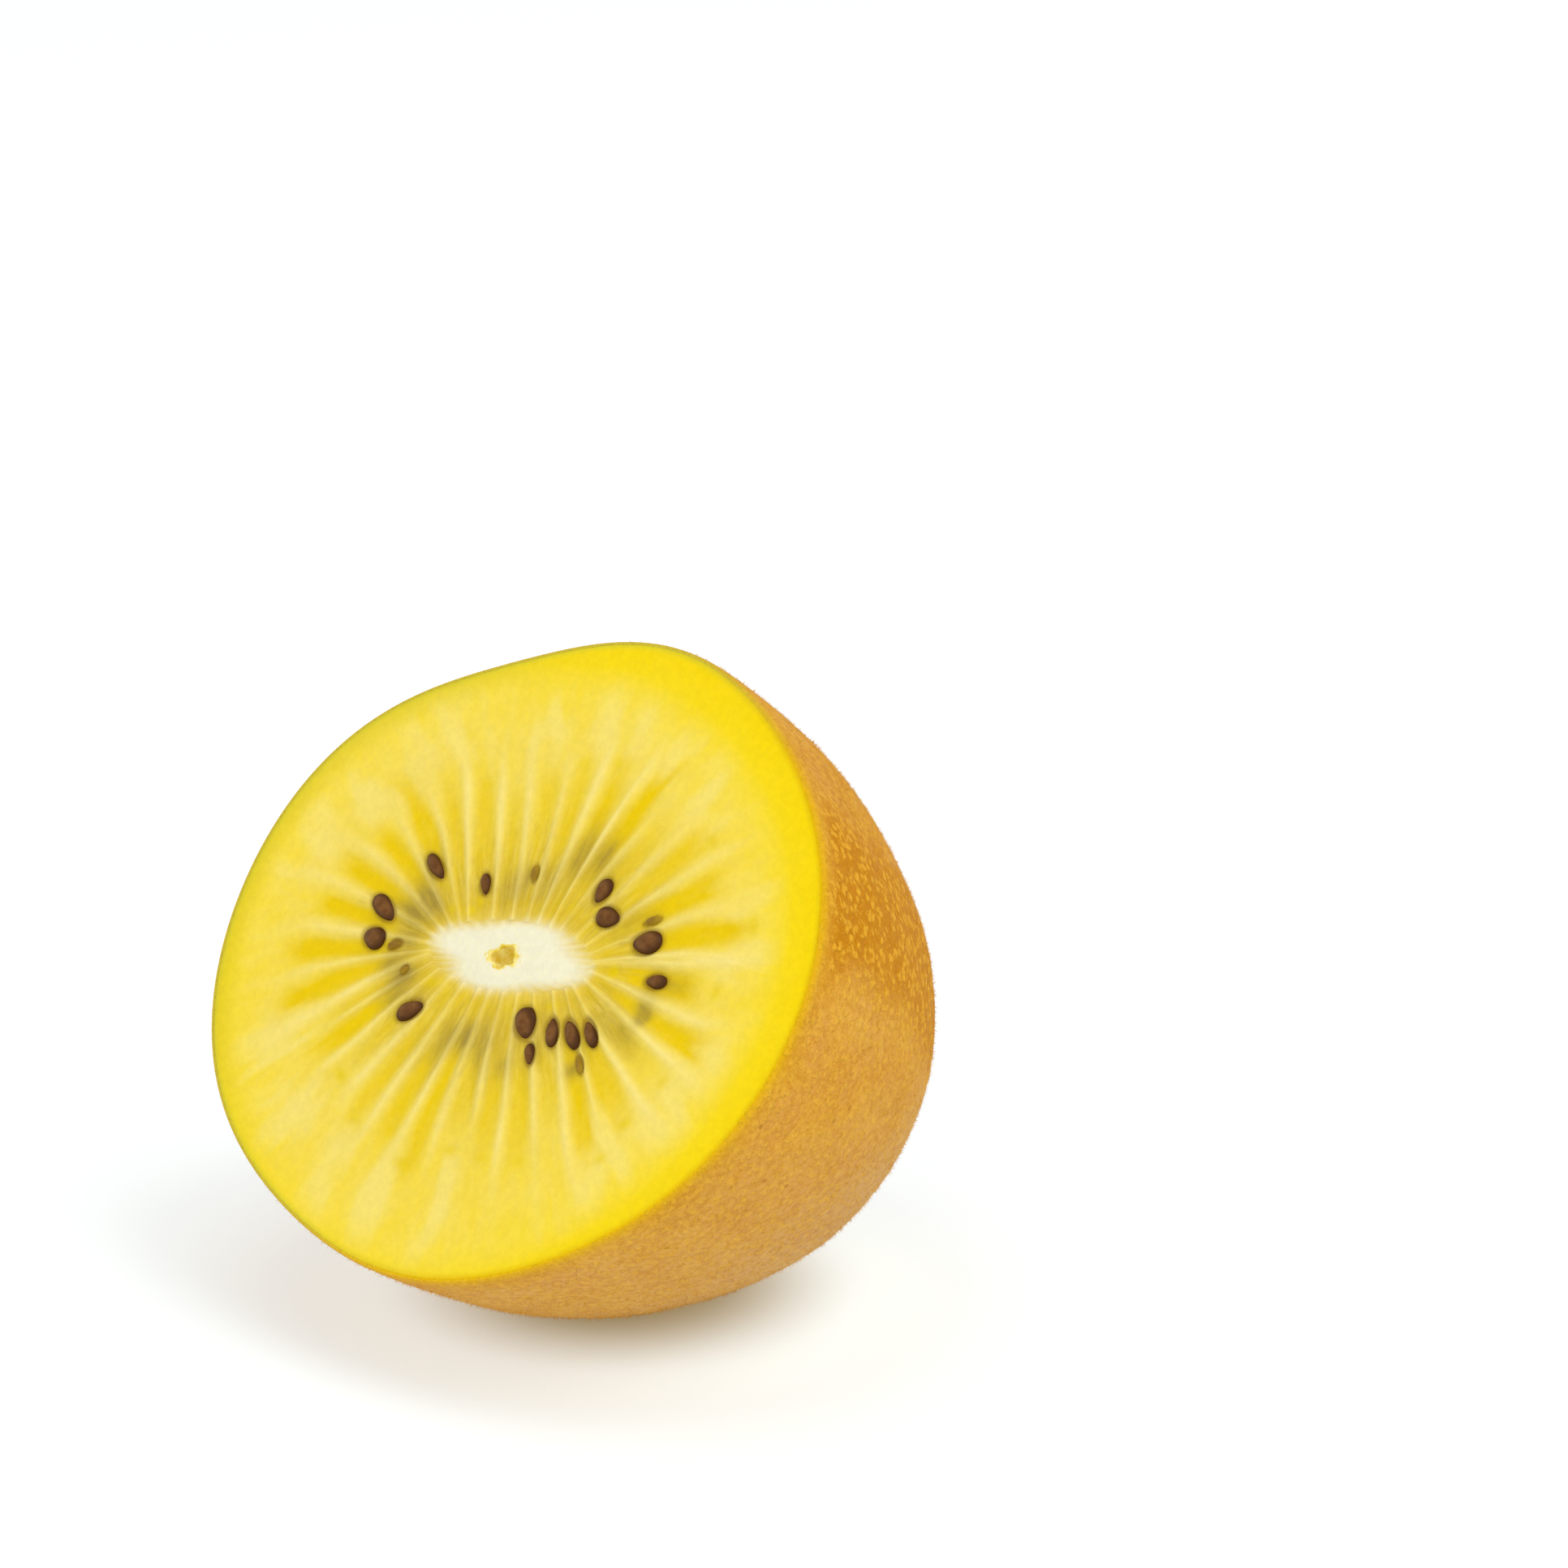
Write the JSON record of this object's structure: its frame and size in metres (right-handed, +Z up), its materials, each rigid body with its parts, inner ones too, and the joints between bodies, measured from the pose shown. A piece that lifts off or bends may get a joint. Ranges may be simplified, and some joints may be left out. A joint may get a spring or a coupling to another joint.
{
  "type": "gold kiwifruit half",
  "caption": "Half of a gold kiwifruit, cut across its middle and lying on its side, with seeds set round a pale core.",
  "frame": {"origin": "middle of the small flat spot on the skin that the half rests on", "axes": "+Z up from the table; the cut face looks towards -Y and 34 degrees upwards; X runs across the cut face, level"},
  "size_m": [0.0556, 0.0469, 0.0493],
  "materials": {
    "flesh": "satin",
    "seeds": "gloss",
    "skin": "matte",
    "scar": "matte"
  },
  "bodies": {
    "root": {"kiwi_half": "flesh"}
  },
  "joints": []
}
